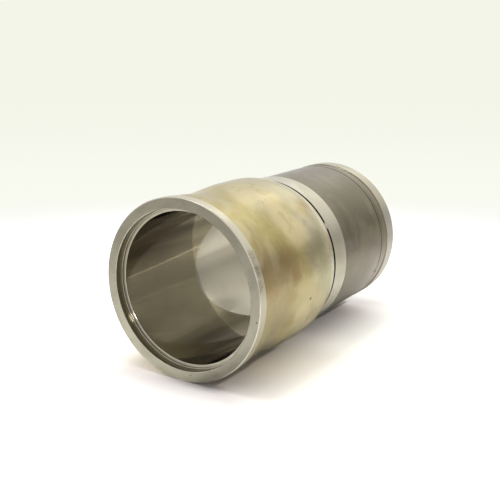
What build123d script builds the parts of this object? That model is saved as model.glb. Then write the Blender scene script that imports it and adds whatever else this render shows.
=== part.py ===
"""Wet cylinder liner of the mid-stop kind for a heavy diesel engine: one centrifugally cast, turned
and honed iron sleeve.

The liner stands on its skirt end, with +Z up along the bore towards the cylinder head. The origin is
the middle of the skirt end. Every size is in millimetres.
"""
import os
from build123d import *

# Bore and length
bore_radius = 65.0
upper_length = 130.4  # stop shoulder up to the top face, the length that the block's stop seat holds
lower_length = 130.6  # stop shoulder down to the skirt end

# Rim land: the short cylinder round the top face
rim_land_height = 8.5
rim_land_step = 0.65  # stands proud of the jacket
rim_edge_chamfer = 0.7

# Jacket: the thick wall above the stop that the coolant runs round, waisted between rim and belly
jacket_wall = 12.1
waist_depth = 2.5
waist_share = 0.55  # height of the waist, as a share of the way from belly to rim
belly_land_height = 18.0
belly_rounding_height = 22.4

# Stop shoulder, its undercut and the pilot band below it
stop_overhang = 0.65  # the shoulder's lip stands proud of the pilot band
lip_chamfer = 0.3
undercut_width = 3.0
undercut_depth = 1.2
pilot_band_height = 22.0
pilot_band_step = 0.65
pilot_band_chamfer = 0.3

# Skirt: the thin wall below the pilot band
skirt_wall = 6.5
guide_groove_width = 1.2
guide_groove_depth = 0.35
guide_land_height = 5.6
relief_height = 7.5
relief_depth = 0.5
end_band_height = 14.1
end_band_step = 0.3
skirt_edge_chamfer = 0.7
bore_lead_out = 1.2

# Stepped counterbore that takes the anti-polishing ring
counterbore_depth = 7.1
ring_seat_width = 1.1
bore_ledge_drop = 1.2
bore_ledge_width = 2.4
counterbore_edge_chamfer = 0.45
bore_edge_chamfer = 0.35

# Radii, worked out from the bore outwards
skirt_radius = bore_radius + skirt_wall
end_band_radius = skirt_radius + end_band_step
relief_radius = skirt_radius - relief_depth
guide_groove_radius = skirt_radius - guide_groove_depth
pilot_band_radius = skirt_radius + pilot_band_step
undercut_radius = pilot_band_radius - undercut_depth
lip_radius = pilot_band_radius + stop_overhang
belly_radius = bore_radius + jacket_wall
waist_radius = belly_radius - waist_depth
rim_land_radius = belly_radius + rim_land_step
bore_ledge_radius = bore_radius + bore_ledge_width
counterbore_radius = bore_ledge_radius + ring_seat_width

# Heights above the skirt end
stop_z = lower_length
top_z = lower_length + upper_length
relief_top_z = end_band_height + relief_height
guide_groove_z = relief_top_z + guide_land_height
pilot_band_top_z = stop_z - undercut_width
pilot_band_low_z = pilot_band_top_z - pilot_band_height
belly_low_z = stop_z + belly_rounding_height
belly_top_z = belly_low_z + belly_land_height
jacket_top_z = top_z - rim_land_height - rim_land_step
waist_z = belly_top_z + waist_share * (jacket_top_z - belly_top_z)

upwards = (0, 1)
downwards = (0, -1)


def ring_edges(part, radius, z):
    """Circular edges of the given radius at height z, round the bore axis."""
    at_height = part.edges().filter_by(GeomType.CIRCLE).filter_by_position(Axis.Z, z - 0.01, z + 0.01)
    return at_height.filter_by(lambda edge: abs(edge.radius - radius) < 0.01)


with BuildPart() as cylinder_liner:
    # Outside, drawn from the skirt end up to the top face and turned about the bore axis
    with BuildSketch(Plane.XZ):
        with BuildLine():
            Polyline(
                (0, 0),
                (end_band_radius, 0),
                (end_band_radius, end_band_height),
                (skirt_radius, end_band_height),
                (skirt_radius, pilot_band_low_z),
                (pilot_band_radius, pilot_band_low_z),
                (pilot_band_radius, stop_z),
                (lip_radius, stop_z),
            )
            TangentArc((belly_radius, belly_low_z), (lip_radius, stop_z), tangent=downwards)
            Line((belly_radius, belly_low_z), (belly_radius, belly_top_z))
            Spline((belly_radius, belly_top_z), (waist_radius, waist_z), tangents=(upwards, upwards))
            Spline((waist_radius, waist_z), (belly_radius, jacket_top_z), tangents=(upwards, upwards))
            Polyline(
                (belly_radius, jacket_top_z),
                (rim_land_radius, top_z - rim_land_height),
                (rim_land_radius, top_z),
                (0, top_z),
                (0, 0),
            )
        make_face()
    revolve(axis=Axis.Z)

    # Undercut below the stop shoulder, and the two shallow reliefs above the end band
    ring_cuts = (
        (undercut_radius, pilot_band_top_z, undercut_width),
        (guide_groove_radius, guide_groove_z, guide_groove_width),
        (relief_radius, end_band_height, relief_height),
    )
    with BuildSketch(Plane.XZ):
        for floor_radius, low_z, width in ring_cuts:
            with Locations((floor_radius, low_z)):
                Rectangle(lip_radius - floor_radius, width, align=(Align.MIN, Align.MIN))
    revolve(axis=Axis.Z, mode=Mode.SUBTRACT)

    # Honed bore with the anti-polishing ring's counterbore, and the bore ledge one step lower
    with Locations((0, 0, top_z)):
        CounterBoreHole(bore_radius, counterbore_radius, counterbore_depth)
    with BuildSketch(Plane.XY.offset(top_z - counterbore_depth)):
        Circle(bore_ledge_radius)
    extrude(amount=-bore_ledge_drop, mode=Mode.SUBTRACT)

    # Edges broken in turning
    bore_ledge_z = top_z - counterbore_depth - bore_ledge_drop
    chamfer(ring_edges(cylinder_liner, rim_land_radius, top_z), rim_edge_chamfer)
    chamfer(ring_edges(cylinder_liner, counterbore_radius, top_z), counterbore_edge_chamfer)
    chamfer(ring_edges(cylinder_liner, bore_radius, bore_ledge_z), bore_edge_chamfer)
    chamfer(ring_edges(cylinder_liner, lip_radius, stop_z), lip_chamfer)
    chamfer(ring_edges(cylinder_liner, pilot_band_radius, pilot_band_top_z), pilot_band_chamfer)
    chamfer(ring_edges(cylinder_liner, pilot_band_radius, pilot_band_low_z), pilot_band_chamfer)
    chamfer(ring_edges(cylinder_liner, end_band_radius, 0), skirt_edge_chamfer)
    chamfer(ring_edges(cylinder_liner, bore_radius, 0), bore_lead_out)

cylinder_liner.part.label = "cylinder_liner"
os.makedirs("parts", exist_ok=True)
export_step(cylinder_liner.part, "parts/cylinder_liner.step")
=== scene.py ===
"""Cylinder liner: the look of its turned, honed and oil-filmed iron, and the stage it is seen on.

Everything is in the row frame, in metres: +Z up the bore, the skirt end at Z 0. The part stands
upright there, while the photograph shows it lying down with its top end towards the camera. So the
camera is rolled, and the white ground is an upright plane that touches the liner's side.
"""
import math
import random

import bmesh
import bpy
from mathutils import Matrix, Vector, noise

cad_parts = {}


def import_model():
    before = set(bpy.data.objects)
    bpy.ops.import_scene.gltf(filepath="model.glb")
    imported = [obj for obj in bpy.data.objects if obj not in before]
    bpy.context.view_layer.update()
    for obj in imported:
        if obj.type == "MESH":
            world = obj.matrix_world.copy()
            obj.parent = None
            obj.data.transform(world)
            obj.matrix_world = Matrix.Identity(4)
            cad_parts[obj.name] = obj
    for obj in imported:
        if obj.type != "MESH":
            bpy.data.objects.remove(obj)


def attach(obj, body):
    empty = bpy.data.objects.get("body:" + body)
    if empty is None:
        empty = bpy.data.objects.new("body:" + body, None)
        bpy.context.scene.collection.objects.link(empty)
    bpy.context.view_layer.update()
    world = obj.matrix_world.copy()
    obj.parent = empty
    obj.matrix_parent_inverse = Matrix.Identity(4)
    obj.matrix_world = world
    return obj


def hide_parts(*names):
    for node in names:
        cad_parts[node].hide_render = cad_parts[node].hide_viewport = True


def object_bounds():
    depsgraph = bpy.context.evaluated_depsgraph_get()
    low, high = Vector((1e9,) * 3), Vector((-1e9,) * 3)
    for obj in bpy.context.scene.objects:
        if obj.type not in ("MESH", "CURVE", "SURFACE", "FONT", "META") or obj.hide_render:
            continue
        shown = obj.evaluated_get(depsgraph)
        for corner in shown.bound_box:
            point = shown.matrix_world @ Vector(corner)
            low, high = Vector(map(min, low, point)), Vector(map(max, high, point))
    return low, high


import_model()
cad_low, cad_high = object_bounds()

MM = 0.001
NODE = "cylinder_liner"

# ---------------------------------------------------------------- sizes, in millimetres
TOP = cad_high.z / MM
RIM_R = cad_high.x / MM
STOP = 130.6  # height of the stop shoulder
BORE_R = 65.0

RIM_HEIGHT = 8.5
RIM_STEP = 0.65  # the rim land stands proud of the jacket
RIM_CHAMFER = 0.7

BELLY_R = RIM_R - RIM_STEP
WAIST_DEPTH = 2.5
WAIST_SHARE = 0.55  # height of the waist, as a share of the way from belly to rim
BELLY_ROUNDING = 22.4
BELLY_LAND = 18.0
WAIST_R = BELLY_R - WAIST_DEPTH
BELLY_LOW = STOP + BELLY_ROUNDING
BELLY_TOP = BELLY_LOW + BELLY_LAND
JACKET_TOP = TOP - RIM_HEIGHT - RIM_STEP
WAIST = BELLY_TOP + WAIST_SHARE * (JACKET_TOP - BELLY_TOP)

SKIRT_WALL = 6.5
SKIRT_R = BORE_R + SKIRT_WALL
PILOT_STEP = 0.65
PILOT_R = SKIRT_R + PILOT_STEP
PILOT_HEIGHT = 22.0
PILOT_CHAMFER = 0.3
STOP_OVERHANG = 0.65
LIP_R = PILOT_R + STOP_OVERHANG
LIP_CHAMFER = 0.3
UNDERCUT_DEPTH = 1.2
UNDERCUT_WIDTH = 3.0
UNDERCUT_R = PILOT_R - UNDERCUT_DEPTH
PILOT_TOP = STOP - UNDERCUT_WIDTH
PILOT_LOW = PILOT_TOP - PILOT_HEIGHT
UNDERCUT_SHADE_SPREAD = 0.8  # how far the undercut's painted shade spreads down the pilot band

END_STEP = 0.3
END_R = SKIRT_R + END_STEP
END_TOP = 14.1  # height of the end band
END_CHAMFER = 0.7
LEAD_OUT = 1.2  # chamfer where the bore leaves the skirt
RELIEF_DEPTH = 0.5
RELIEF_HEIGHT = 7.5
RELIEF_R = SKIRT_R - RELIEF_DEPTH
RELIEF_TOP = END_TOP + RELIEF_HEIGHT
GUIDE_LAND = 5.6  # skirt left standing between the relief and the guide groove
GUIDE_DEPTH = 0.35
GUIDE_WIDTH = 1.2
GUIDE_R = SKIRT_R - GUIDE_DEPTH
GUIDE_LOW = RELIEF_TOP + GUIDE_LAND
GUIDE_TOP = GUIDE_LOW + GUIDE_WIDTH

SEAT_DEPTH = 7.1
SEAT_CHAMFER = 0.45
SEAT_WIDTH = 1.1  # the ring seat's floor, out from the ledge
LEDGE_DROP = 1.2
LEDGE_WIDTH = 2.4
BORE_CHAMFER = 0.35
SEAT = TOP - SEAT_DEPTH
LEDGE = SEAT - LEDGE_DROP
LEDGE_R = BORE_R + LEDGE_WIDTH
SEAT_R = LEDGE_R + SEAT_WIDTH
LIT_STRETCH_TOP = 184.0  # about where the bore's painted lit stretch ends, from the skirt end up

SEGMENTS = 360
BAND_RINGS, SKIRT_RINGS, PILOT_RINGS = 3, 20, 5  # how many steps each stretch of the section takes
LIP_RINGS, BELLY_RINGS, WAIST_RINGS, NECK_RINGS = 24, 8, 20, 18
BORE_RINGS = 24
EDGE_ROUND = 0.2  # radius of a broken edge
EDGE_STEPS = 3
EDGE_SHARE = 0.3  # a broken edge takes no more than this share of the stretch beside it
EDGE_TURN = 9  # a corner that turns by fewer degrees stays as it is


# ---------------------------------------------------------------- the turned profile
def s_curve(low, high, steps):
    """Points after low up to high, leaving low and reaching high straight upwards."""
    points = []
    for i in range(1, steps + 1):
        t = i / steps
        blend = t * t * (3 - 2 * t)
        points.append((low[0] + (high[0] - low[0]) * blend, low[1] + (high[1] - low[1]) * t))
    return points


def lip_rounding(steps):
    """Points on the arc from the lip of the stop shoulder up to the belly, the two ends included."""
    drop, rise = BELLY_R - LIP_R, BELLY_LOW - STOP
    radius = (drop * drop + rise * rise) / (2 * drop)
    steepest = math.asin((rise - LIP_CHAMFER) / radius)
    points = []
    for i in range(steps + 1):
        a = steepest * (1 - i / steps)
        points.append((BELLY_R - radius * (1 - math.cos(a)), BELLY_LOW - radius * math.sin(a)))
    return points


def straight(start, end, steps):
    """Points after start up to end, evenly spaced."""
    return [(start[0] + (end[0] - start[0]) * i / steps, start[1] + (end[1] - start[1]) * i / steps)
            for i in range(1, steps + 1)]


def profile():
    """The closed section as (finish, points): each stretch runs on from the last point of the one before.

    It starts on the skirt end, goes up the outside, over the top face and down the bore.
    """
    skirt_foot = (END_R - END_CHAMFER, 0)
    pilot_foot = (PILOT_R, PILOT_LOW + PILOT_CHAMFER)
    lip = lip_rounding(LIP_RINGS)
    return [
        ("faced", [skirt_foot]),
        ("turned", [(END_R, END_CHAMFER)]),
        ("turned", straight((END_R, END_CHAMFER), (END_R, END_TOP), BAND_RINGS)),
        ("turned", [(RELIEF_R, END_TOP)]),
        ("skirt", [(RELIEF_R, RELIEF_TOP), (SKIRT_R, RELIEF_TOP), (SKIRT_R, GUIDE_LOW)]),
        ("groove", [(GUIDE_R, GUIDE_LOW), (GUIDE_R, GUIDE_TOP), (SKIRT_R, GUIDE_TOP)]),
        ("skirt", straight((SKIRT_R, GUIDE_TOP), (SKIRT_R, PILOT_LOW), SKIRT_RINGS)),
        ("turned", [(PILOT_R - PILOT_CHAMFER, PILOT_LOW), pilot_foot]),
        ("turned", straight(pilot_foot, (PILOT_R, PILOT_TOP - UNDERCUT_SHADE_SPREAD), PILOT_RINGS)),
        # the top of the pilot band takes the undercut's painted shade too
        ("recess", [(PILOT_R, PILOT_TOP - PILOT_CHAMFER), (PILOT_R - PILOT_CHAMFER, PILOT_TOP)]),
        ("recess", [(UNDERCUT_R, PILOT_TOP), (UNDERCUT_R, STOP), (LIP_R - LIP_CHAMFER, STOP)]),
        ("edge", [lip[0]]),
        ("jacket", lip[1:]),
        ("jacket", straight((BELLY_R, BELLY_LOW), (BELLY_R, BELLY_TOP), BELLY_RINGS)),
        ("jacket", s_curve((BELLY_R, BELLY_TOP), (WAIST_R, WAIST), WAIST_RINGS)),
        ("jacket", s_curve((WAIST_R, WAIST), (BELLY_R, JACKET_TOP), NECK_RINGS)),
        ("rim", [(RIM_R, TOP - RIM_HEIGHT), (RIM_R, TOP - RIM_CHAMFER)]),
        ("edge", [(RIM_R - RIM_CHAMFER, TOP)]),
        ("faced", [(SEAT_R + SEAT_CHAMFER, TOP)]),
        ("edge", [(SEAT_R, TOP - SEAT_CHAMFER)]),
        ("seat", [(SEAT_R, SEAT)]),
        ("ledge", [(LEDGE_R, SEAT)]),
        ("groove", [(LEDGE_R, LEDGE)]),
        ("ledge", [(BORE_R + BORE_CHAMFER, LEDGE), (BORE_R, LEDGE - BORE_CHAMFER)]),
        ("bore", straight((BORE_R, LEDGE - BORE_CHAMFER), (BORE_R, LEAD_OUT), BORE_RINGS)),
        ("faced", [(BORE_R + LEAD_OUT, 0)]),
    ]


def broken_edges(points):
    """The closed section with each sharp corner replaced by a small arc."""
    rounded = []
    count = len(points)
    for i, (finish, corner) in enumerate(points):
        here = Vector(corner)
        back = Vector(points[i - 1][1]) - here
        ahead = Vector(points[(i + 1) % count][1]) - here
        turn = math.pi - back.angle(ahead)
        if turn < math.radians(EDGE_TURN):
            rounded.append((finish, here))
            continue
        reach = min(EDGE_ROUND * math.tan(turn / 2), EDGE_SHARE * back.length, EDGE_SHARE * ahead.length)
        start, end = here + back.normalized() * reach, here + ahead.normalized() * reach
        for step in range(EDGE_STEPS + 1):
            t = step / EDGE_STEPS
            rounded.append((finish, start * (1 - t) ** 2 + here * (2 * t * (1 - t)) + end * t * t))
    return rounded


def turned_sleeve(finishes):
    """The liner's mesh: the section turned about the bore axis, one material per finish."""
    corners = [(finish, point) for finish, points in profile() for point in points]
    rings = broken_edges(corners)
    vertices, faces, slots = [], [], []
    for _, (r, z) in rings:
        for k in range(SEGMENTS):
            a = 2 * math.pi * k / SEGMENTS
            vertices.append((r * MM * math.cos(a), r * MM * math.sin(a), z * MM))
    for i in range(len(rings)):
        j = (i + 1) % len(rings)
        for k in range(SEGMENTS):
            m = (k + 1) % SEGMENTS
            faces.append((i * SEGMENTS + k, i * SEGMENTS + m, j * SEGMENTS + m, j * SEGMENTS + k))
            slots.append(rings[j][0])
    mesh = bpy.data.meshes.new("liner_sleeve")
    mesh.from_pydata(vertices, [], faces)
    names = list(finishes)
    for name in names:
        mesh.materials.append(finishes[name])
    for face, slot in zip(mesh.polygons, slots):
        face.material_index = names.index(slot)
        face.use_smooth = True
    pitted(mesh)
    sleeve = bpy.data.objects.new("liner_sleeve", mesh)
    bpy.context.scene.collection.objects.link(sleeve)
    weighted = sleeve.modifiers.new("flat_faces_stay_flat", "WEIGHTED_NORMAL")
    weighted.mode = "FACE_AREA"
    weighted.weight = 100
    return sleeve


# ---------------------------------------------------------------- pits and nicks
FACE_PITS = (  # degrees round from the top of the lying liner, then in mm: radius, reach, depth
    (99.5, 75.2, 1.0, 0.5),
    (172.4, 71.6, 0.8, 0.4),
    (151.0, 73.8, 0.5, 0.3),
    (197.0, 74.6, 0.5, 0.3),
    (121.0, 72.4, 0.5, 0.3),
    (226.0, 75.3, 0.6, 0.3),
    (66.0, 76.2, 0.6, 0.4),
)
SIDE_PITS = (  # degrees, then in mm: height up the bore, reach, depth
    (101.2, 178.2, 1.5, 0.7),
    (86.3, 223.3, 1.6, 0.12),
    (89.0, 226.0, 1.2, 0.10),
    (112.4, 30.8, 1.9, 0.8),
    (114.5, 25.0, 1.2, 0.5),
)
RIM_NICKS = 12
RIM_WORN = (56, 84)  # degrees between which the rim's corner is chipped
NICK_INSET = 0.2  # a nick's middle lies so far inside the rim,
NICK_DROP = (0.1, 1.6)  # so far under the top face,
NICK_REACH = (0.6, 1.2)
NICK_DEPTH = (0.10, 0.25)
NICK_SLANT = Vector((0, 0, -0.7))  # and it is pressed in and down
FINEST = 0.35  # the mesh under a mark is cut until no edge is longer than this share of its reach,
CUT_REACH, CUT_FACE = 1.2, 0.6  # on faces nearer than these shares of the reach and of their own size
MARK_ROOM = 6  # faces whose middle is that much past a mark's reach may still touch it
LEVEL_ROOM = 9  # and so may faces with a corner that much above or below it
MARK_RAGGED = 0.4  # how ragged a mark's outline is
MARK_GRAIN = 1500  # how fine that raggedness is, per metre
NICK_SEED = 7


def round_place(degrees, radius, height):
    """A place on the liner: degrees from the top of the lying liner towards the camera, the rest in mm."""
    a = GROUND_AZIMUTH - math.radians(degrees)
    return Vector((radius * math.cos(a), radius * math.sin(a), height)) * MM


def outer_radius(height):
    """The outside radius at that height, in mm."""
    inside = ("bore", "ledge", "seat")
    points = [point for finish, points in profile() if finish not in inside for point in points]
    widest = 0
    for (r0, z0), (r1, z1) in zip(points, points[1:]):
        if min(z0, z1) <= height <= max(z0, z1) and z0 != z1:
            widest = max(widest, r0 + (r1 - r0) * (height - z0) / (z1 - z0))
    return widest


def marks():
    """Each pit and nick as (place, way in, reach, depth), in metres."""
    found = []
    for degrees, radius, reach, depth in FACE_PITS:
        found.append((round_place(degrees, radius, TOP), Vector((0, 0, -1)), reach * MM, depth * MM))
    for degrees, height, reach, depth in SIDE_PITS:
        place = round_place(degrees, outer_radius(height), height)
        found.append((place, -Vector((place.x, place.y, 0)).normalized(), reach * MM, depth * MM))
    dice = random.Random(NICK_SEED)
    for _ in range(RIM_NICKS):
        degrees = dice.uniform(*RIM_WORN)
        place = round_place(degrees, RIM_R - NICK_INSET, TOP - dice.uniform(*NICK_DROP))
        inwards = (-Vector((place.x, place.y, 0)).normalized() + NICK_SLANT).normalized()
        reach = dice.uniform(*NICK_REACH) * MM
        found.append((place, inwards, reach, dice.uniform(*NICK_DEPTH) * MM))
    return found


def coarse_edges(faces, place, reach):
    """The edges near a mark that are still too long for it."""
    edges = set()
    for face in faces:
        longest = max(edge.calc_length() for edge in face.edges)
        if (face.calc_center_median() - place).length < reach * CUT_REACH + longest * CUT_FACE:
            edges.update(edge for edge in face.edges if edge.calc_length() > reach * FINEST)
    return list(edges)


def pitted(mesh):
    """Cuts the mesh finer at each mark and presses the mark in."""
    shape = bmesh.new()
    shape.from_mesh(mesh)
    for place, inwards, reach, depth in marks():
        level = [face for face in shape.faces
                 if abs(face.verts[0].co.z - place.z) < reach + LEVEL_ROOM * MM]
        near = [face for face in level
                if (face.calc_center_median() - place).length < reach + MARK_ROOM * MM]
        edges = coarse_edges(near, place, reach)
        while edges:
            cut = bmesh.ops.subdivide_edges(shape, edges=edges, cuts=1, use_grid_fill=True)
            pieces = [part for part in cut["geom"] if isinstance(part, bmesh.types.BMEdge)]
            near = {face for piece in pieces for face in piece.link_faces}
            edges = coarse_edges(near, place, reach)
        for vertex in {corner for face in near for corner in face.verts}:
            ragged = 1 + MARK_RAGGED * noise.noise(vertex.co * MARK_GRAIN)
            away = (vertex.co - place).length / reach * ragged
            if away < 1:
                vertex.co += inwards * (depth * (1 - away * away) ** 2)
    shape.to_mesh(mesh)
    shape.free()


# ---------------------------------------------------------------- the iron's tones
OLIVE = (0.52, 0.44, 0.18)  # the jacket's gold film
MOSS = (0.43, 0.36, 0.16)
BROWN = (0.40, 0.295, 0.135)
# painted shade for the jacket's underside
UMBER_PAINTED_SHADE = (0.21, 0.165, 0.095)
TAN = (0.46, 0.38, 0.22)
CREAM = (0.68, 0.60, 0.36)
# painted highlight
GLEAM_PAINTED_HIGHLIGHT = (0.82, 0.70, 0.41)
BEIGE = (0.58, 0.53, 0.34)
SAGE = (0.50, 0.475, 0.295)
PALE = (0.68, 0.62, 0.46)
# painted highlight for the lip's rounding
LIP_PAINTED_HIGHLIGHT = (0.86, 0.80, 0.62)

TURNED_TONES = ((0.60, 0.57, 0.45), (0.53, 0.50, 0.39))  # bare iron: two tones that drift into each other
RIM_TONES = ((0.74, 0.69, 0.545), (0.66, 0.61, 0.475))
FACED_TONES = ((0.49, 0.47, 0.385), (0.42, 0.40, 0.32))
EDGE_TONES = ((0.76, 0.72, 0.62), (0.68, 0.64, 0.53))
LEDGE_TONES = ((0.84, 0.80, 0.68), (0.74, 0.70, 0.58))
SEAT_TONES = ((0.165, 0.145, 0.10), (0.25, 0.22, 0.16))
SKIRT_TONES = ((0.19, 0.168, 0.108), (0.268, 0.236, 0.158))
OILED_TONES = ((0.342, 0.320, 0.262), (0.302, 0.282, 0.228))
# painted light: the bore's lit stretch, lighter than the rest
LIT_STRETCH_TONES = ((0.62, 0.58, 0.455), (0.56, 0.52, 0.405))
# painted shade: near black in the undercut, dark in the grooves
RECESS_SHADE_TONES = ((0.012, 0.010, 0.008), (0.03, 0.026, 0.02))
GROOVE_SHADE_TONES = ((0.07, 0.058, 0.042), (0.12, 0.10, 0.075))

TURNED_RING = (0.46, 0.42, 0.32)  # the darker rings that the tool left
FACED_RING = (0.33, 0.305, 0.235)
SKIRT_RING = (0.18, 0.155, 0.105)
SKIRT_ROSY = (0.27, 0.225, 0.185)  # the skirt's stains, and its lighter relief
SKIRT_OLIVE = (0.18, 0.165, 0.105)
RELIEF_TONE = (0.34, 0.295, 0.21)
GRIME_TONE = (0.05, 0.042, 0.03)
WORN_TONE = (0.38, 0.33, 0.22)

# Patches, each given as degrees round from the top of the lying liner, height in mm, reach in metres,
# squeeze along the bore, tone, and the share of it: stains, and painted light where marked.
FILM_AND_PAINTED_LIGHT = (
    # Painted light among the film: the brown patches from 62 to 84 degrees darken the band where the dark
    # room is mirrored, the gleam and cream patches and the lip patch at 54 degrees are painted highlights,
    # and the umber patch at 138 degrees is painted shade on the underside.
    (40, 234, 0.046, 1.4, OLIVE, 0.9),
    (24, 196, 0.028, 1.2, CREAM, 0.95),
    (76, 224, 0.030, 0.7, BROWN, 0.95),
    (98, 222, 0.036, 0.8, TAN, 0.6),
    (84, 202, 0.014, 1.2, BROWN, 0.8),
    (62, 241, 0.020, 1.2, BROWN, 0.6),
    (47, 238, 0.017, 1.2, MOSS, 0.7),
    (138, 238, 0.040, 1.1, UMBER_PAINTED_SHADE, 0.8),
    (100, 189, 0.022, 1.0, CREAM, 0.6),
    (76, 161, 0.030, 1.2, SAGE, 0.9),
    (20, 163, 0.030, 1.3, BEIGE, 0.8),
    (114, 169, 0.029, 1.0, CREAM, 0.75),
    (55, 168, 0.019, 1.0, PALE, 0.7),
    (44, 190, 0.022, 1.1, GLEAM_PAINTED_HIGHLIGHT, 0.9),
    (56, 184, 0.018, 0.9, GLEAM_PAINTED_HIGHLIGHT, 0.8),
    (43, 160, 0.014, 1.1, GLEAM_PAINTED_HIGHLIGHT, 0.5),
    (28, 184, 0.018, 1.0, GLEAM_PAINTED_HIGHLIGHT, 0.6),
    (114, 184, 0.018, 1.0, GLEAM_PAINTED_HIGHLIGHT, 0.6),
    (43, 250, 0.016, 1.4, CREAM, 0.6),
    (76, 238, 0.022, 1.0, BROWN, 0.8),
    (70, 230, 0.015, 1.0, BROWN, 0.6),
    (78, 146, 0.024, 1.2, SAGE, 0.7),
    (119, 152, 0.032, 1.0, GLEAM_PAINTED_HIGHLIGHT, 0.6),
    (94, 152, 0.018, 1.0, SAGE, 0.5),
    (8, 188, 0.020, 1.0, CREAM, 0.6),
    (70, 140, 0.015, 1.3, TAN, 0.8),
    (54, 132, 0.016, 1.5, LIP_PAINTED_HIGHLIGHT, 0.8),
)
# Stains, and painted reflection: the lighter, rosy patches low down, at 98 to 112 degrees, stand in for the
# sheet mirrored there.
SKIRT_STAINS_AND_PAINTED_REFLECTION = (
    (106, 44, 0.036, 0.8, (0.315, 0.272, 0.222), 0.85),
    (98, 84, 0.026, 0.8, (0.29, 0.25, 0.185), 0.7),
    (34, 48, 0.030, 0.8, (0.20, 0.175, 0.115), 0.8),
    (112, 19, 0.034, 1.0, (0.43, 0.37, 0.30), 0.9),
)
BAND_FILM = (  # the end band, cooler on one side, and the pilot band
    (94, 7, 0.050, 0.5, (0.61, 0.582, 0.535), 0.9),
    (4, 116, 0.030, 0.5, (0.67, 0.64, 0.51), 0.8),
    (48, 116, 0.030, 0.5, (0.69, 0.655, 0.52), 0.8),
    (120, 116, 0.028, 0.5, (0.80, 0.76, 0.61), 0.8),
)
RIM_FILM = ((94, TOP - 4, 0.036, 1.0, (0.61, 0.565, 0.445), 0.8),)
UNDERCUT_PAINTED_GLINT = ((59, STOP - 1.6, 0.0045, 1.0, (0.72, 0.68, 0.55), 0.95),)  # painted highlight: a glint in the undercut, as a light patch
BORE_PAINTED_REFLECTIONS = (  # dark reflections painted on the bore
    (-50, 230, 0.058, 0.62, (0.155, 0.122, 0.106), 0.9),
    (172, 200, 0.050, 0.62, (0.09, 0.072, 0.064), 0.9),
)
LIT_STRETCH_PATCHES = (  # more painted light and shade on the bore's lit stretch
    (-101, 104, 0.032, 0.5, (0.80, 0.75, 0.60), 0.8),
    (-140, 168, 0.028, 1.0, (0.88, 0.83, 0.67), 0.9),
    (-168, 140, 0.042, 0.8, (0.30, 0.275, 0.225), 0.7),
)

RIM_WEAR = (  # worn places on the rim: degrees, height, reach in mm
    (60, TOP - 3, 7),
    (69, TOP - 4, 8),
    (78, TOP - 2, 7),
    (140, TOP - 3, 6),
)
DEEP = 0.3  # a side pit that is deeper holds grime
FACE_GRIME, SIDE_GRIME = 0.9, 1.1  # how far the grime of a pit goes, as a share of the pit's reach


def face_grime():
    """The grime of the top face's pits, just inside each."""
    return [(round_place(degrees, radius, TOP), reach * FACE_GRIME * MM)
            for degrees, radius, reach, _ in FACE_PITS]


def side_grime(low, high):
    """The grime of the deep pits between two heights, just past each one's edge."""
    return [(round_place(degrees, outer_radius(height), height), reach * SIDE_GRIME * MM)
            for degrees, height, reach, depth in SIDE_PITS if low < height < high and depth > DEEP]


# ---------------------------------------------------------------- materials
PATCH_CORE = 0.35  # the share of a patch's reach over which it is at full strength
RING_DEPTH = 0.002 * MM  # depth of the marks the tool left on the ground bands,
FACED_DEPTH = 0.010 * MM  # on the faced ends,
JACKET_DEPTH = 0.003 * MM  # on the jacket,
SKIRT_DEPTH = 0.006 * MM  # on the skirt
SEAT_MARK_DEPTH = 0.008 * MM  # and in the ring seat
LIT_EDGE_SOFT = 2  # half the width in mm of the soft edge of the bore's painted lit stretch
LIP_HIGHLIGHT_FADE = (0.143, 0.137)  # heights in metres between which the painted highlight along the lip's rounding fades out, going up


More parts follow.
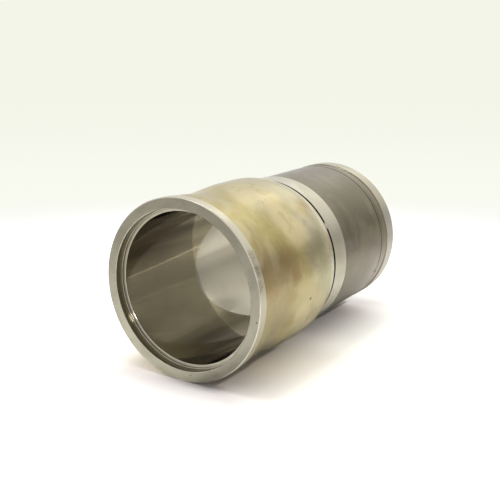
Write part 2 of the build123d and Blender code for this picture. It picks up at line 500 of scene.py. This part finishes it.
class Finish:
    """A procedural material, built with short calls. A value is a number or another node's output."""

    def __init__(self, name, metallic=1.0, anisotropic=0.0, coat=0.0):
        self.material = bpy.data.materials.new(name)
        self.material.use_nodes = True
        self.tree = self.material.node_tree
        self.shader = self.tree.nodes["Principled BSDF"]
        self.shader.inputs["Metallic"].default_value = metallic
        self.shader.inputs["Anisotropic"].default_value = anisotropic
        self.shader.inputs["Coat Weight"].default_value = coat
        self.shader.inputs["Coat Roughness"].default_value = 0.2
        self.place = self.add("ShaderNodeTexCoord").outputs["Object"]

    def add(self, kind, inputs=(), **settings):
        """A node of that kind with those settings, its inputs given as (socket, value) pairs."""
        node = self.tree.nodes.new(kind)
        for name, value in settings.items():
            setattr(node, name, value)
        for socket, value in inputs:
            self.feed(node.inputs[socket], value)
        return node

    def feed(self, socket, value):
        """Joins a socket to another node's output, or sets it to a number or a colour."""
        if isinstance(value, bpy.types.NodeSocket):
            self.tree.links.new(value, socket)
        elif socket.type == "RGBA":
            socket.default_value = (*value, 1)
        else:
            socket.default_value = value

    def math(self, operation, *values):
        return self.add("ShaderNodeMath", enumerate(values), operation=operation).outputs[0]

    def times(self, first, *others):
        """All the values multiplied."""
        for other in others:
            first = self.math("MULTIPLY", first, other)
        return first

    def vector(self, operation, *values):
        return self.add("ShaderNodeVectorMath", enumerate(values), operation=operation).outputs[0]

    def length(self, offset):
        return self.add("ShaderNodeVectorMath", [(0, offset)], operation="LENGTH").outputs["Value"]

    def towards(self, direction, place=None):
        """How far a place, by itself the one that is shaded, lies along a direction."""
        inputs = [(0, self.place if place is None else place), (1, tuple(direction))]
        return self.add("ShaderNodeVectorMath", inputs, operation="DOT_PRODUCT").outputs["Value"]

    def stretched(self, x, y, z):
        """The place in the row frame, stretched by so much along each axis."""
        return self.vector("MULTIPLY", self.place, (x, y, z))

    def noise(self, place, scale, detail=3.0, distortion=0.0):
        """Smooth noise about 0.5."""
        node = self.add("ShaderNodeTexNoise", [("Vector", place), ("Scale", scale), ("Detail", detail),
                                               ("Distortion", distortion)])
        return node.outputs["Fac"]

    def bent(self, scale, reach):
        """Offsets up to reach metres each way, for bending another pattern."""
        node = self.add("ShaderNodeTexNoise", [("Vector", self.place), ("Scale", scale), ("Detail", 2.0)])
        centred = self.vector("SUBTRACT", node.outputs["Color"], (0.5, 0.5, 0.5))
        return self.vector("MULTIPLY", centred, (reach * 2, reach * 2, reach * 2))

    def fade(self, value, start, end, low=0.0, high=1.0):
        """Runs smoothly from low to high as value goes from start to end."""
        return self.add("ShaderNodeMapRange", [("Value", value), ("From Min", start), ("From Max", end),
                                               ("To Min", low), ("To Max", high)],
                        interpolation_type="SMOOTHSTEP").outputs["Result"]

    def mix(self, share, first, second, blend="MIX"):
        """Two colours mixed."""
        node = self.add("ShaderNodeMix", data_type="RGBA", blend_type=blend)
        self.feed(node.inputs[0], share)
        self.feed(node.inputs[6], first)
        self.feed(node.inputs[7], second)
        return node.outputs[2]

    def scaled(self, color, gain):
        """A colour made that many times as bright."""
        return self.mix(1.0, color, self.grey(gain), "MULTIPLY")

    def grey(self, value):
        return self.add("ShaderNodeCombineXYZ", [(i, value) for i in range(3)]).outputs[0]

    def height(self):
        """Height up the bore, in metres."""
        return self.add("ShaderNodeSeparateXYZ", [(0, self.place)]).outputs["Z"]

    def radius(self):
        """Distance from the bore axis, in metres."""
        return self.length(self.stretched(1, 1, 0))

    def patch(self, centre, reach, squeeze, ragged):
        """1 at a place on the liner, falling to 0 at reach metres; squeeze shortens it along the bore."""
        away = self.vector("MULTIPLY", self.vector("SUBTRACT", self.place, centre), (1, 1, squeeze))
        shift = self.math("MULTIPLY", self.math("SUBTRACT", ragged, 0.5), reach)
        return self.fade(self.math("ADD", self.length(away), shift), reach, PATCH_CORE * reach)

    def patched(self, color, film, radius, ragged):
        """The colour with patches of other tones, each given as (degrees, height, reach, squeeze, tone,
        share).
        """
        for degrees, height, reach, squeeze, tone, share in film:
            spot = self.patch(tuple(round_place(degrees, radius, height)), reach, squeeze, ragged)
            color = self.mix(self.math("MULTIPLY", spot, share), color, tone)
        return color

    def grimed(self, color, places):
        """The colour with dark grime in pits, each given as (place, reach)."""
        ragged = self.noise(self.place, 900.0, 2.0)
        for place, reach in places:
            color = self.mix(self.patch(tuple(place), reach, 1.0, ragged), color, GRIME_TONE)
        return color

    def finish(self, color, roughness, bump=None, depth=0.0):
        """Joins the shader to its colour, its roughness and a bump of that depth in metres."""
        self.feed(self.shader.inputs["Base Color"], color)
        self.feed(self.shader.inputs["Roughness"], roughness)
        if bump is not None:
            node = self.add("ShaderNodeBump", [("Height", bump), ("Distance", depth), ("Strength", 1.0)])
            self.feed(self.shader.inputs["Normal"], node.outputs["Normal"])
        return self.material


def turned_iron(name, tones, film=(), worn=()):
    """Bright ground bands: fine rings round the part, with faint stains and a few worn, dirty places."""
    f = Finish(name, anisotropic=0.4)
    rings = f.noise(f.stretched(6, 6, 2600), 1.0, 4.0)
    stains = f.noise(f.stretched(1, 1, 2.2), 38.0, 4.0, 0.6)
    color = f.patched(f.mix(f.fade(stains, 0.35, 0.70), *tones), film, SKIRT_R, stains)
    color = f.mix(f.fade(rings, 0.3, 0.75, 0.0, 0.10), color, TURNED_RING)
    specks = f.fade(f.noise(f.place, 520.0, 4.0), 0.44, 0.66, 0.35, 0.85)
    for degrees, height, reach in worn:
        place = round_place(degrees, outer_radius(height), height)
        spot = f.patch(tuple(place), reach * MM, 1.0, stains)
        color = f.mix(f.math("MULTIPLY", spot, specks), color, WORN_TONE)
    return f.finish(color, f.fade(stains, 0.3, 0.7, 0.20, 0.27), rings, RING_DEPTH)


def faced_iron():
    """The top face and the skirt end: fine circles about the bore, dulled in places."""
    f = Finish("faced_iron", anisotropic=0.4)
    circle = f.math("MULTIPLY", f.radius(), 2400.0)
    drift = f.noise(f.stretched(14, 14, 14), 1.0, 1.0)
    spread = f.add("ShaderNodeCombineXYZ", [("X", circle), ("Y", drift)])
    circles = f.noise(spread.outputs[0], 1.0, 4.0)
    dull = f.noise(f.place, 45.0, 5.0, 0.8)
    color = f.mix(f.fade(dull, 0.35, 0.68), *FACED_TONES)
    color = f.mix(f.fade(circles, 0.35, 0.8, 0.0, 0.3), color, FACED_RING)
    color = f.grimed(color, face_grime())
    return f.finish(color, f.fade(circles, 0.3, 0.7, 0.24, 0.32), circles, FACED_DEPTH)


def edge_iron():
    """Chamfers and ledges that handling has polished."""
    f = Finish("edge_iron")
    worn = f.noise(f.place, 160.0, 3.0)
    color = f.mix(f.fade(worn, 0.4, 0.65), *EDGE_TONES)
    return f.finish(color, f.fade(worn, 0.3, 0.7, 0.22, 0.30))


def ledge_iron():
    """The steps under the ring seat: satin, and bright from the tool."""
    f = Finish("ledge_iron")
    circles = f.noise(f.stretched(60, 60, 60), 1.0, 3.0)
    return f.finish(f.mix(f.fade(circles, 0.4, 0.65), *LEDGE_TONES), 0.52)


def recess_painted_shade(name, tones, film=()):
    """Painted shade in the undercut and the grooves, mottled."""
    f = Finish(name, metallic=0.6)
    mottle = f.noise(f.place, 90.0, 4.0)
    color = f.patched(f.mix(f.fade(mottle, 0.35, 0.65), *tones), film, UNDERCUT_R, mottle)
    return f.finish(color, f.fade(mottle, 0.3, 0.7, 0.5, 0.65))


def jacket_iron():
    """The water jacket's gold film over smooth iron, some patches painted shade and highlights: it drifts
    from olive by the rim to sage by the lip.
    """
    f = Finish("jacket_iron")
    drift = f.noise(f.place, 17.0, 3.0, 0.5)
    cloud = f.noise(f.place, 36.0, 4.0, 0.8)
    slanted = f.vector("ADD", f.stretched(1, 1, 1.4), f.bent(30.0, 0.016))
    wipes = f.noise(slanted, 34.0, 2.0, 0.3)
    dabs = f.noise(f.vector("ADD", slanted, (0.3, 0.1, 0.2)), 52.0, 2.0, 0.6)
    height = f.math("ADD", f.height(), f.math("MULTIPLY", f.math("SUBTRACT", drift, 0.5), 0.06))
    color = f.mix(f.fade(height, 0.158, 0.196), BEIGE, OLIVE)
    color = f.mix(f.fade(cloud, 0.48, 0.66, 0.0, 0.6), color, CREAM)
    color = f.mix(f.fade(drift, 0.47, 0.36, 0.0, 0.7), color, BROWN)
    # painted highlight: a lighter band along the lip's rounding
    color = f.mix(f.math("MULTIPLY", f.fade(f.height(), *LIP_HIGHLIGHT_FADE), 0.8), color, LIP_PAINTED_HIGHLIGHT)
    # these patches include painted shade and painted highlights
    color = f.patched(color, FILM_AND_PAINTED_LIGHT, BELLY_R, wipes)
    color = f.mix(f.fade(wipes, 0.53, 0.62, 0.0, 0.18), color, PALE)
    color = f.mix(f.fade(dabs, 0.43, 0.39, 0.0, 0.20), color, BROWN)
    color = f.grimed(color, side_grime(STOP, TOP))
    rings = f.noise(f.stretched(9, 9, 900), 1.0, 3.0)
    return f.finish(color, f.fade(cloud, 0.3, 0.7, 0.20, 0.28), rings, JACKET_DEPTH)


def skirt_iron():
    """The plain skirt: dull grey-brown, drawn out in streaks round it, with rosy and olive stains, and
    lighter patches low down that are painted reflection.
    """
    f = Finish("skirt_iron", anisotropic=0.2, coat=0.18)
    rings = f.noise(f.stretched(9, 9, 700), 1.0, 4.0)
    cloud = f.noise(f.stretched(1, 1, 1.6), 26.0, 4.0, 0.6)
    stains = f.noise(f.vector("ADD", f.place, f.bent(26.0, 0.02)), 34.0, 3.0, 0.4)
    color = f.mix(f.fade(cloud, 0.35, 0.66), *SKIRT_TONES)
    color = f.mix(f.fade(stains, 0.55, 0.64, 0.0, 0.55), color, SKIRT_ROSY)
    color = f.mix(f.fade(stains, 0.43, 0.36, 0.0, 0.5), color, SKIRT_OLIVE)
    relief = f.fade(f.height(), (RELIEF_TOP + 0.5) * MM, (RELIEF_TOP - 0.5) * MM, 0.0, 0.6)
    color = f.mix(relief, color, RELIEF_TONE)
    # the lighter patches low down are painted reflection
    color = f.patched(color, SKIRT_STAINS_AND_PAINTED_REFLECTION, SKIRT_R, stains)
    color = f.mix(f.fade(rings, 0.4, 0.75, 0.0, 0.2), color, SKIRT_RING)
    color = f.grimed(color, side_grime(0, STOP))
    return f.finish(color, f.fade(cloud, 0.3, 0.7, 0.26, 0.36), rings, SKIRT_DEPTH)


def seat_iron():
    """The ring seat's wall: brown and rather dull."""
    f = Finish("seat_iron")
    rings = f.noise(f.stretched(10, 10, 1500), 1.0, 4.0)
    return f.finish(f.mix(f.fade(rings, 0.3, 0.7), *SEAT_TONES), 0.34, rings, SEAT_MARK_DEPTH)


def honed_iron():
    """The bore: nearly a mirror under an oil film, with dark reflections painted on it, and a lighter,
    duller stretch from the skirt end up that is painted light.
    """
    f = Finish("honed_iron")
    film = f.noise(f.place, 22.0, 4.0, 0.9)
    smear = f.noise(f.stretched(60, 60, 22), 1.0, 3.0, 0.8)
    # painted light: a lighter, duller stretch below a tilted edge
    tilted = f.math("SUBTRACT", f.height(), f.towards(LIT_EDGE_TILT))
    lit_stretch = f.fade(tilted, (LIT_STRETCH_TOP + LIT_EDGE_SOFT) * MM, (LIT_STRETCH_TOP - LIT_EDGE_SOFT) * MM)
    f.feed(f.shader.inputs["Metallic"], f.fade(lit_stretch, 0.0, 1.0, 0.96, 0.68))
    blotches = f.fade(film, 0.35, 0.68)
    even = f.fade(film, 0.0, 1.0, 0.4, 0.6)
    # dark reflections painted on the mirror part of the bore
    oiled = f.patched(f.mix(blotches, *OILED_TONES), BORE_PAINTED_REFLECTIONS, BORE_R, even)
    lit_color = f.patched(f.mix(blotches, *LIT_STRETCH_TONES), LIT_STRETCH_PATCHES, BORE_R, even)
    return f.finish(f.mix(lit_stretch, oiled, lit_color), f.fade(smear, 0.35, 0.75, 0.045, 0.06))


def finishes():
    """Each finish that the turned profile names, with its material."""
    return {
        "turned": turned_iron("turned_iron", TURNED_TONES, BAND_FILM),
        "rim": turned_iron("rim_iron", RIM_TONES, RIM_FILM, RIM_WEAR),
        "faced": faced_iron(),
        "edge": edge_iron(),
        "ledge": ledge_iron(),
        "recess": recess_painted_shade("recess_painted_shade", RECESS_SHADE_TONES, UNDERCUT_PAINTED_GLINT),
        "groove": recess_painted_shade("groove_painted_shade", GROOVE_SHADE_TONES),
        "jacket": jacket_iron(),
        "skirt": skirt_iron(),
        "seat": seat_iron(),
        "bore": honed_iron(),
    }


# ---------------------------------------------------------------- the photograph's view
LENS = 61.2
SENSOR = 36.0
FRAME_PX = 500
FOCAL_PX = LENS / SENSOR * FRAME_PX
BORE_YAW = math.radians(33.934)  # the bore runs away to the right of the line of sight
BORE_RISE = math.radians(12.204)  # and climbs in the picture
TOP_FACE_PX = (179.71, 291.69)  # where the middle of the top face falls
TOP_FACE_DEPTH = 8.8689 * RIM_R * MM  # how far that is from the camera, along its line of sight
GROUND_AZIMUTH = math.radians(-45)  # the way the ground faces, in the row's XY plane


def photo_axes():
    """The row's axes as seen by the camera: x right, y up, z back towards the camera."""
    away = Vector((math.sin(BORE_YAW) * math.cos(BORE_RISE), math.sin(BORE_RISE),
                   -math.cos(BORE_YAW) * math.cos(BORE_RISE)))
    up = Vector((0, -away.z, away.y)).normalized()
    row_z = -away
    side = row_z.cross(up)
    c, s = math.cos(GROUND_AZIMUTH), math.sin(GROUND_AZIMUTH)
    return up * c - side * s, up * s + side * c, row_z


def photo_camera():
    """The camera that sees the liner as the photograph does."""
    axes = Matrix(photo_axes())  # rows: the row's X, Y and Z in camera terms
    half = FRAME_PX / 2
    right, down = TOP_FACE_PX
    top_face = Vector(((right - half) / FOCAL_PX, (half - down) / FOCAL_PX, -1)) * TOP_FACE_DEPTH
    place = Vector((0, 0, TOP * MM)) - axes @ top_face
    data = bpy.data.cameras.new("photo_camera")
    data.lens, data.sensor_width = LENS, SENSOR
    camera = bpy.data.objects.new("photo_camera", data)
    camera.matrix_world = Matrix.Translation(place) @ axes.to_4x4()
    bpy.context.scene.collection.objects.link(camera)
    bpy.context.scene.camera = camera


UP = Vector((math.cos(GROUND_AZIMUTH), math.sin(GROUND_AZIMUTH), 0))  # away from the ground
ALONG = Vector((0, 0, 1))  # along the bore, towards the top face
ACROSS = UP.cross(ALONG)  # over the ground, across the bore
LIT_EDGE_TILT = UP * 0.18 + ACROSS * 0.44  # how the edge of the bore's painted lit stretch slopes


def staged(up, across, along):
    """A place on the stage in metres: height over the ground, then across and along the bore."""
    return UP * (up - RIM_R * MM) + ACROSS * across + ALONG * along


# ---------------------------------------------------------------- stage
def plane(name, centre, normal, tangent, width, height, material):
    """A flat stage card of that size, facing normal, its width along tangent."""
    normal, tangent = normal.normalized(), tangent.normalized()
    other = normal.cross(tangent)
    corners = [centre + tangent * (x * width / 2) + other * (y * height / 2)
               for x, y in ((-1, -1), (1, -1), (1, 1), (-1, 1))]
    mesh = bpy.data.meshes.new(name)
    mesh.from_pydata(corners, [], [(0, 1, 2, 3)])
    mesh.materials.append(material)
    card = bpy.data.objects.new(name, mesh)
    bpy.context.scene.collection.objects.link(card)


SHEET_SIZE = 8
SHEET_MIDDLE = 0.13  # along the bore
SHEET_EDGES = (  # where what mirrors the sheet sees it end: the way out, distance, softness
    (ACROSS * 0.45 - ALONG * 0.89, 0.43, 0.16),
    (ALONG, 0.33, 0.08),
)
SEEN_EDGE = (0.88, 0.35)  # distances over which the camera sees the sheet run on into the backdrop
SEEN_FALL = 4.0  # how fast it does
SHEET_WHITE = (1.06, 1.06, 1.04)
SHEET_SEEN = (0.98, 0.98, 0.97)  # the photograph's exposure burns the sheet out a little
SHEET_GAIN = 1.75  # the camera sees the sheet that much brighter outside the shadow,
SHADE_GAIN = 1.2  # and that much inside it
SHADE_SEEN = (1.0, 0.955, 0.96)  # the sheet's tone in the shadow
BLACK = (0.0, 0.0, 0.0)

SHADOW_SOFT = 0.064  # the width of the shadow's soft edge
SKIRT_SHADOW, JACKET_SHADOW = 0.020, 0.040  # the shadow's half width across the bore, beside each part
SHADOW_STEP = (0.110, 0.150)  # heights between which the one changes to the other
END_TIGHT = 1.3  # the soft edge is that much narrower past the liner's two ends

# The dark foot of the shadow, where the liner touches the sheet. Each pair gives the two places, across
# or along the bore, between which a stretch of it fades in.
FOOT_SHADE = 0.58  # how much darker the sheet is there
FOOT_FAR, FOOT_NEAR = (-0.035, 0.015), (0.054, 0.024)  # across: in front of the rim
FOOT_LOW, FOOT_HIGH = ((TOP - 14) * MM, (TOP - 4) * MM), ((TOP + 12) * MM, (TOP - 2) * MM)
LINE_EDGE = (0.0305, 0.0255)  # across: the thin line under the jacket,
LINE_SPREAD = (0.19, 0.21, 0.0, 0.0025)  # along: from where to where it widens, and by how much
LINE_LOW, LINE_HIGH = (0.135, 0.165), ((TOP + 1) * MM, TOP * MM)
TAIL_EDGE = (0.022, 0.018)  # across: the line under the skirt
TAIL_LOW, TAIL_HIGH = (-0.012, 0.0), (0.075, 0.055)
LINE_SIDE = (0.0, 0.01)  # across: both lines keep to the side that the camera sees

# What the iron mirrors of the sheet
FRONT_GAIN = 1.23  # the sheet just in front of the top face is brighter still
FRONT_RISE = (TOP * MM, (TOP + 12) * MM)
UNDER_SHADE, GAP_SHADE = 0.35, 0.25  # how much darker the liner's underside sees it, out and close in
UNDER_EDGE, GAP_EDGE = (0.056, 0.040), (0.042, 0.032)  # across
UNDER_SIDE, UNDER_LOW = (0.0, 0.02), (-0.03, 0.0)
CONTACT_GLOW = 0.25  # keeps the liner's own shadow from turning black where it is mirrored
GLOW_EDGE = (0.03, 0.005)  # across
GLOW_LOW, GLOW_HIGH = (0.0, 0.01), (0.26, 0.25)


def light_path(tree, ray):
    return tree.nodes.new("ShaderNodeLightPath").outputs[ray]


def foot_shade(f, across, along):
    """The dark foot of the shadow: in front of the rim, and a thin line under the jacket and the skirt."""
    foot = f.times(f.fade(across, *FOOT_FAR), f.fade(across, *FOOT_NEAR), f.fade(along, *FOOT_LOW),
                   f.fade(along, *FOOT_HIGH, 0.0, FOOT_SHADE))
    inner = f.math("SUBTRACT", across, f.fade(along, *LINE_SPREAD))
    line = f.times(f.fade(inner, *LINE_EDGE), f.fade(along, *LINE_LOW, 0.0, FOOT_SHADE),
                   f.fade(along, *LINE_HIGH))
    tail = f.times(f.fade(across, *TAIL_EDGE), f.fade(along, *TAIL_HIGH, 0.0, FOOT_SHADE),
                   f.fade(along, *TAIL_LOW))
    lines = f.times(f.math("MAXIMUM", line, tail), f.fade(across, *LINE_SIDE))
    return f.math("MAXIMUM", foot, lines)


def seen_sheet(f, across, along, beside):
    """The sheet's colour to the camera: burnt out, but for the shadow round the liner."""
    beyond = f.math("MAXIMUM", f.math("SUBTRACT", along, TOP * MM), f.math("MULTIPLY", along, -1.0))
    beyond = f.math("MULTIPLY", beyond, END_TIGHT)
    clear = f.math("MAXIMUM", f.math("MAXIMUM", beside, beyond), 0.0)
    tone = f.mix(f.fade(clear, 0.0, SHADOW_SOFT), SHADE_SEEN, SHEET_SEEN)
    white = f.scaled(tone, f.fade(clear, 0.0, SHADOW_SOFT, SHADE_GAIN, SHEET_GAIN))
    return f.mix(foot_shade(f, across, along), white, BLACK)


def mirrored_sheet(f, across, along):
    """The sheet's colour to all but the camera: white, brighter before the rim and darker underneath."""
    white = f.scaled(SHEET_WHITE, f.fade(along, *FRONT_RISE, 1.0, FRONT_GAIN))
    under = f.math("ADD", f.fade(across, *UNDER_EDGE, 0.0, UNDER_SHADE),
                   f.fade(across, *GAP_EDGE, 0.0, GAP_SHADE))
    under = f.times(under, f.fade(across, *UNDER_SIDE), f.fade(along, *UNDER_LOW))
    return f.mix(under, white, BLACK)


def contact_glow(f, camera, across, along, beside):
    """A little light from the sheet by the contact, for all but the camera."""
    touching = f.math("MULTIPLY", f.fade(beside, SHADOW_SOFT, 0.0),
                      f.fade(across, *GLOW_EDGE, 0.0, CONTACT_GLOW))
    length = f.math("MULTIPLY", f.fade(along, *GLOW_LOW), f.fade(along, *GLOW_HIGH))
    strength = f.times(touching, length, f.math("SUBTRACT", 1.0, camera))
    return f.add("ShaderNodeEmission", [("Color", SHEET_WHITE), ("Strength", strength)])


def sheet_share(f, camera):
    """How much of the sheet is there: the camera and what mirrors it see different soft edges."""
    away = f.vector("SUBTRACT", f.place, tuple(staged(0, 0, SHEET_MIDDLE)))
    seen = f.math("POWER", f.fade(f.length(away), *SEEN_EDGE), SEEN_FALL)
    lit = 1.0
    for direction, distance, soft in SHEET_EDGES:
        edge = f.fade(f.towards(direction, away), distance + soft, distance - soft)
        lit = f.math("MULTIPLY", lit, edge)
    mirrored = f.math("MULTIPLY", f.math("SUBTRACT", 1.0, camera), lit)
    return f.math("ADD", f.math("MULTIPLY", camera, seen), mirrored)


def ground_material():
    """White sheet with soft edges, clear from behind. The camera sees it run on into the backdrop."""
    f = Finish("ground", metallic=0.0)
    camera = light_path(f.tree, "Is Camera Ray")
    where = f.vector("SUBTRACT", f.place, tuple(staged(0, 0, 0)))
    across, along = f.towards(ACROSS, where), f.towards(ALONG, where)
    half = f.fade(along, *SHADOW_STEP, SKIRT_SHADOW, JACKET_SHADOW)
    beside = f.math("SUBTRACT", f.math("ABSOLUTE", across), half)
    color = f.mix(camera, mirrored_sheet(f, across, along), seen_sheet(f, across, along, beside))
    matt = f.add("ShaderNodeBsdfDiffuse", [("Color", color)])
    glow = contact_glow(f, camera, across, along, beside)
    sheet = f.add("ShaderNodeAddShader", [(0, matt.outputs[0]), (1, glow.outputs[0])])
    front = f.math("SUBTRACT", 1.0, f.add("ShaderNodeNewGeometry").outputs["Backfacing"])
    share = f.math("MULTIPLY", sheet_share(f, camera), front)
    clear = f.add("ShaderNodeBsdfTransparent")
    mixed = f.add("ShaderNodeMixShader", [(0, share), (1, clear.outputs[0]), (2, sheet.outputs[0])])
    f.feed(f.tree.nodes["Material Output"].inputs["Surface"], mixed.outputs[0])
    return f.material


KEY_PLACE, KEY_TARGET = staged(1.4, -0.25, 0.35), staged(0.08, 0, 0.13)  # the soft lamp overhead
KEY_SIZE = 0.5
KEY_POWER = 3.6
GLINT_PLACE = staged(0.1640, 0.1190, 0.4620)  # a narrow lamp that makes a glint in the ring seat
GLINT_TARGET = staged(0.0435, -0.0570, 0.2530)
GLINT_WIDTH = 1.5  # degrees
GLINT_BLEND = 0.8
GLINT_RADIUS = 0.002
GLINT_POWER = 4.0


def lamp(name, kind, power, place, target):
    """A lamp of that kind, hung at a place and turned to a target."""
    data = bpy.data.lights.new(name, kind)
    data.energy = power
    hung = bpy.data.objects.new(name, data)
    hung.location = place
    hung.rotation_mode = "QUATERNION"
    hung.rotation_quaternion = (target - place).to_track_quat("-Z", "Y")
    bpy.context.scene.collection.objects.link(hung)
    return hung


def lamps():
    key = lamp("key", "AREA", KEY_POWER, KEY_PLACE, KEY_TARGET)
    key.data.shape = "SQUARE"
    key.data.size = KEY_SIZE
    key.visible_camera = False
    glint = lamp("glint", "SPOT", GLINT_POWER, GLINT_PLACE, GLINT_TARGET)
    glint.data.spot_size = math.radians(GLINT_WIDTH)
    glint.data.spot_blend = GLINT_BLEND
    glint.data.shadow_soft_size = GLINT_RADIUS


# The room round the sheet, each as (where, in up, across and along; spread in degrees; brightness added).
ROOM = (
    ((0.07, 0.55, -0.84), 14, -0.60),   # its dark corners: at the back on the near side,
    ((0.14, -0.51, -0.84), 17, -0.17),  # at the back on the far side,
    ((0.05, -0.52, 0.84), 22, -0.42),   # and in front
    ((0.50, -0.14, -0.85), 9, 0.40),    # a soft box high up at the back
)
ROOM_LEVEL = 1.0
ROOM_TINT = (1.0, 0.985, 0.95)
SEAM = UP * 0.772 + ACROSS * 0.162 + ALONG * 0.615  # square to a bright seam that crosses the ceiling
SEAM_WIDTH = 0.004
SEAM_GAIN = 4.5
SEAM_STEP = -0.22  # the ceiling is that much dimmer past the seam
SEAM_SIDE = (0.02, -0.08)  # across: it fades in towards the far side
HORIZON_SIDE = (0.0, 0.4)  # across: towards the near side the horizon softens
HORIZON_SOFT = (0.02, 0.16)  # from the one softness to the other
UNDER_LEVEL = 0.66  # under the horizon the room is dark on the near side
UNDER_FAR = (0.1, -0.25)  # across: and turns as white as the sheet towards the far side
FRONT_LEVEL = 0.60  # it is dark in front of the sheet too
FRONT_ROOM = (0.1, 0.5)  # along: where that begins and where it is full
UNDER_TINT = (1.0, 0.96, 0.90)
BACKDROP = (  # what the camera sees: rise, colour
    (-0.23, (0.985, 0.985, 0.985)),
    (-0.185, (0.945, 0.960, 0.870)),
    (-0.07, (0.893, 0.911, 0.812)),
)


class Sky(Finish):
    """The world's nodes, built with the same short calls; its place is the direction looked in."""

    def __init__(self, tree):
        self.tree = tree
        self.place = self.add("ShaderNodeTexCoord").outputs["Generated"]

    def facing(self, direction):
        """How nearly the direction looked in is the one given: 1 straight towards it."""
        return self.towards(direction.normalized())

    def lobe(self, direction, spread, gain):
        """A soft round patch of sky."""
        wide = math.radians(spread) ** 2
        fall = self.math("DIVIDE", self.math("SUBTRACT", self.facing(direction), 1.0), wide)
        return self.math("MULTIPLY", self.math("EXPONENT", fall), gain)


def ceiling(sky):
    """The room's colour over the horizon: plain and soft, with a bright seam."""
    level = ROOM_LEVEL
    for (up, across, along), spread, gain in ROOM:
        level = sky.math("ADD", level, sky.lobe(UP * up + ACROSS * across + ALONG * along, spread, gain))
    past = sky.facing(SEAM)
    level = sky.math("ADD", level, sky.fade(past, -SEAM_WIDTH, SEAM_WIDTH, 0.0, SEAM_STEP))
    near = sky.math("ABSOLUTE", past)
    seam = sky.math("MULTIPLY", sky.fade(near, SEAM_WIDTH, 0.0, 0.0, SEAM_GAIN),
                    sky.fade(sky.facing(ACROSS), *SEAM_SIDE))
    return sky.scaled(ROOM_TINT, sky.math("ADD", level, seam))


def below(sky):
    """The room's colour under the horizon."""
    dark = [UNDER_LEVEL * c for c in UNDER_TINT]
    front = [FRONT_LEVEL * c for c in UNDER_TINT]
    floor = sky.mix(sky.fade(sky.facing(ACROSS), *UNDER_FAR), dark, SHEET_WHITE)
    return sky.mix(sky.fade(sky.facing(ALONG), *FRONT_ROOM), floor, front)


def backdrop(sky, rise):
    """What the camera sees past the sheet: pale, and a little darker higher up."""
    (low, white), (middle, pale), (high, paler) = BACKDROP
    return sky.mix(sky.fade(rise, middle, high), sky.mix(sky.fade(rise, low, middle), white, pale), paler)


def world():
    """A pale backdrop to the camera, and a plain soft room to everything else."""
    studio = bpy.data.worlds.new("studio")
    bpy.context.scene.world = studio
    studio.use_nodes = True
    sky = Sky(studio.node_tree)
    rise = sky.facing(UP)
    soft = sky.fade(sky.facing(ACROSS), *HORIZON_SIDE, *HORIZON_SOFT)
    above = sky.fade(rise, sky.math("MULTIPLY", soft, -1.0), soft)
    room = sky.mix(above, below(sky), ceiling(sky))
    color = sky.mix(light_path(studio.node_tree, "Is Camera Ray"), room, backdrop(sky, rise))
    background = studio.node_tree.nodes["Background"]
    sky.feed(background.inputs["Color"], color)
    background.inputs["Strength"].default_value = 1.0


# ---------------------------------------------------------------- the scene
sleeve = turned_sleeve(finishes())
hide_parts(NODE)
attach(sleeve, "root")

plane("ground", staged(0, 0, SHEET_MIDDLE), UP, ALONG, SHEET_SIZE, SHEET_SIZE, ground_material())
photo_camera()
world()
lamps()

bpy.context.scene.view_settings.view_transform = "Standard"
